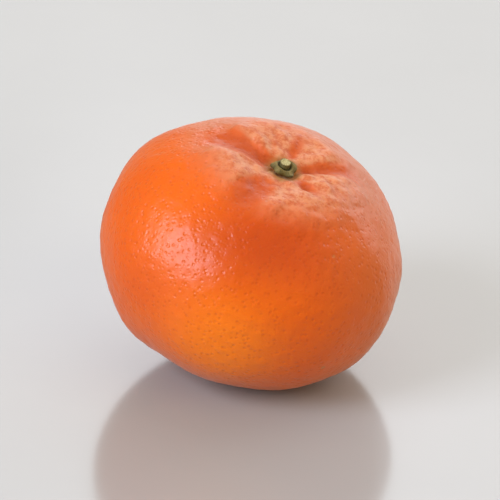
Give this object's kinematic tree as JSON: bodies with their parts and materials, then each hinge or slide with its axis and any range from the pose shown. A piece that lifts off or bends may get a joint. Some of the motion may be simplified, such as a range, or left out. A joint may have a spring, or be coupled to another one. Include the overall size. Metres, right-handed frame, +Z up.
{
  "type": "mandarin",
  "caption": "Whole mandarin as picked, with pebbled orange peel, a furrowed neck, the dried calyx and a cut stem end, resting on its own small flat spot.",
  "frame": {"origin": "middle of the plan at the height of the surface that the fruit rests on", "axes": "+Z up from the resting surface; the stem end leans to +X and a little to -Y, the side that faces the camera"},
  "size_m": [0.0636, 0.0628, 0.0527],
  "materials": {
    "peel": "satin",
    "calyx": "matte",
    "stem": "matte"
  },
  "bodies": {
    "root": {"fruit": "peel", "calyx": "calyx", "stem_stub": "stem"}
  },
  "joints": []
}
